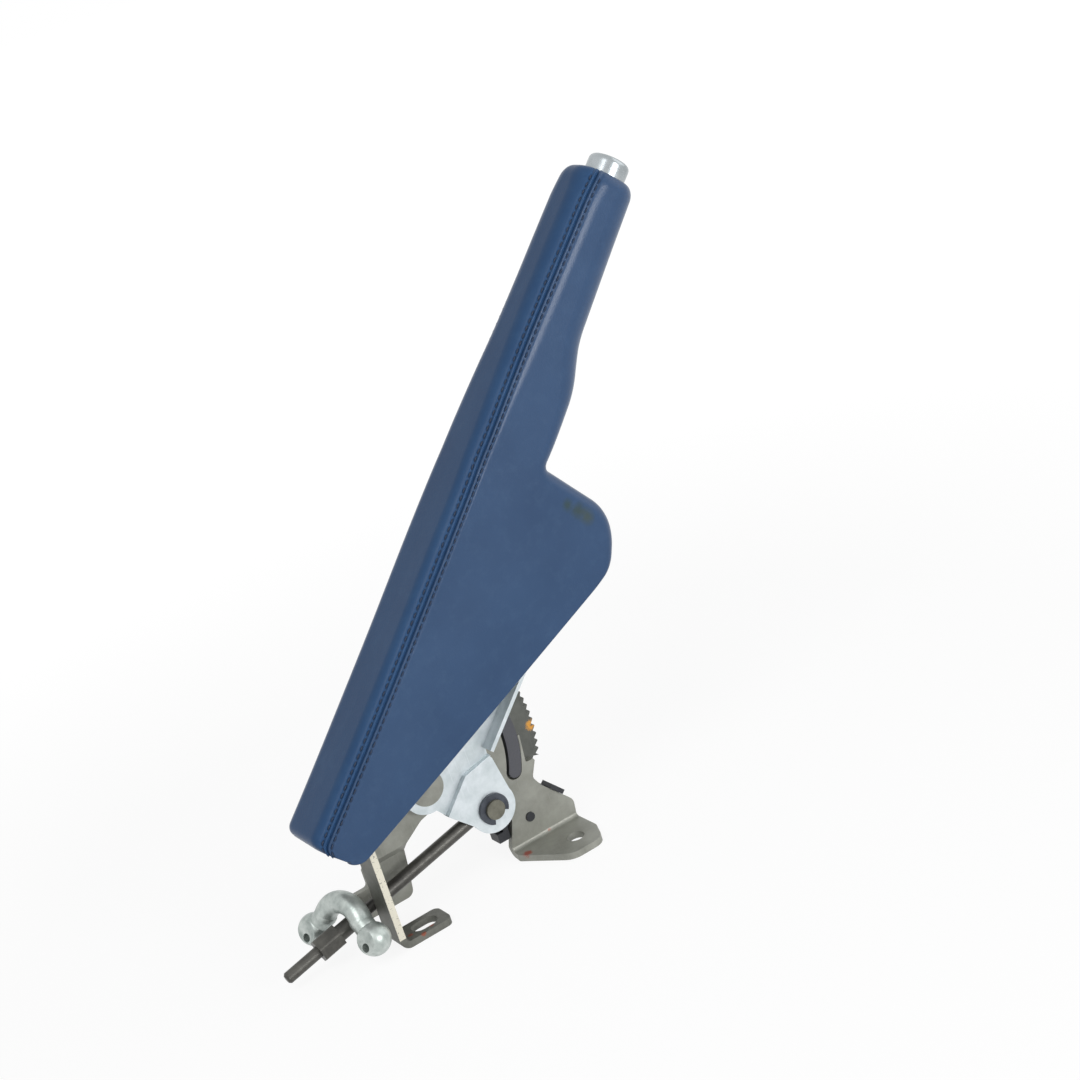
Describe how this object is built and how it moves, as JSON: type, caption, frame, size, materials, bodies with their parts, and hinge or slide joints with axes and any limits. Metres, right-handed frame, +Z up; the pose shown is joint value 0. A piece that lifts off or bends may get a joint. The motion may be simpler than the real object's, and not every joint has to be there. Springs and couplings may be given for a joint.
{
  "type": "parking brake lever",
  "caption": "Leather-covered parking brake lever with a release button, toothed sector, pressed floor bracket, pull rod and cable equaliser.",
  "frame": {"origin": "centre of the front bolt hole on the underside of the front foot", "axes": "+X forward, the way the lever points, +Y to the side of the toothed sector, +Z up from the floor"},
  "size_m": [0.2996, 0.0541, 0.3152],
  "materials": {
    "olive_zinc_steel": "olive chromated zinc over pressed steel",
    "dark_steel": "hardened blanked steel, dark",
    "zinc_steel": "bright zinc plated pressed steel",
    "pin_steel": "turned steel",
    "spring_steel": "phosphated spring steel",
    "leather_blue": "blue dyed grain leather",
    "core_plastic": "moulded plastic",
    "black_plastic": "moulded black plastic",
    "slate_plastic": "moulded slate grey plastic",
    "natural_plastic": "natural acetal",
    "brass": "stamped brass",
    "button_metal": "satin chromed",
    "rod_steel": "oiled black steel"
  },
  "bodies": {
    "bracket": {"base_bracket": "olive_zinc_steel", "rear_strap": "olive_zinc_steel", "ratchet_sector": "dark_steel", "guide_strip": "slate_plastic", "sector_rivets": "olive_zinc_steel", "main_pivot": "olive_zinc_steel", "switch_body": "black_plastic", "switch_terminals": "brass"},
    "plunger": {"switch_plunger": "natural_plastic"},
    "lever": {"lever_arm": "zinc_steel", "pawl_pin": "pin_steel", "rod_pin": "pin_steel", "rod_pin_clip": "spring_steel", "skirt_liner": "core_plastic", "grip_core": "core_plastic", "grip_spacers": "core_plastic", "leather_top": "leather_blue", "leather_side_near": "leather_blue", "leather_side_far": "leather_blue", "leather_underside": "leather_blue", "tip_collar": "black_plastic", "spring_seat": "zinc_steel", "button_spring": "spring_steel"},
    "button": {"push_button": "button_metal", "push_rod": "pin_steel"},
    "pawl": {"pawl": "dark_steel"},
    "rod": {"pull_rod": "rod_steel"},
    "nut": {"adjuster_nut": "rod_steel"},
    "saddle": {"equaliser": "zinc_steel", "cable_ends": "zinc_steel"}
  },
  "joints": [
    {"name": "lever_swing", "type": "hinge", "parent": "bracket", "child": "lever", "pos_m": [-0.0625, 0.0095, 0.0615], "axis": [0, -1, 0], "range_deg": [-46, 5]},
    {"name": "plunger_press", "type": "slide", "parent": "bracket", "child": "plunger", "axis": [0, 0, -1], "range_m": [0, 0.003], "stiffness_N_per_m": 300, "springref_m": -0.004},
    {"name": "button_press", "type": "slide", "parent": "lever", "child": "button", "axis": [-0.7133, 0, -0.7009], "range_m": [0, 0.006], "stiffness_N_per_m": 900, "springref_m": -0.006, "deforming": ["button_spring"]},
    {"name": "pawl_lift", "type": "hinge", "parent": "lever", "child": "pawl", "pos_m": [-0.01943, 0.02325, 0.13467], "axis": [0, -1, 0], "range_deg": [0, 20.2]},
    {"name": "rod_swing", "type": "hinge", "parent": "lever", "child": "rod", "pos_m": [-0.0343, 0.01325, 0.03594], "axis": [0, -1, 0], "range_deg": [-8, 48]},
    {"name": "nut_turn", "type": "hinge", "parent": "rod", "child": "nut", "pos_m": [-0.13189, 0.01325, 0.01412], "axis": [-0.9759, 0, -0.2181], "continuous": true},
    {"name": "equaliser_swing", "type": "hinge", "parent": "rod", "child": "saddle", "pos_m": [-0.12506, 0.01325, 0.01565], "axis": [0, 0, 1], "range_deg": [-5, 1.5]}
  ],
  "couplings": [
    {"joint": "pawl_lift", "follows": "button_press", "rad_per_m": 58.33},
    {"joint": "rod_swing", "follows": "lever_swing", "ratio": -1}
  ]
}
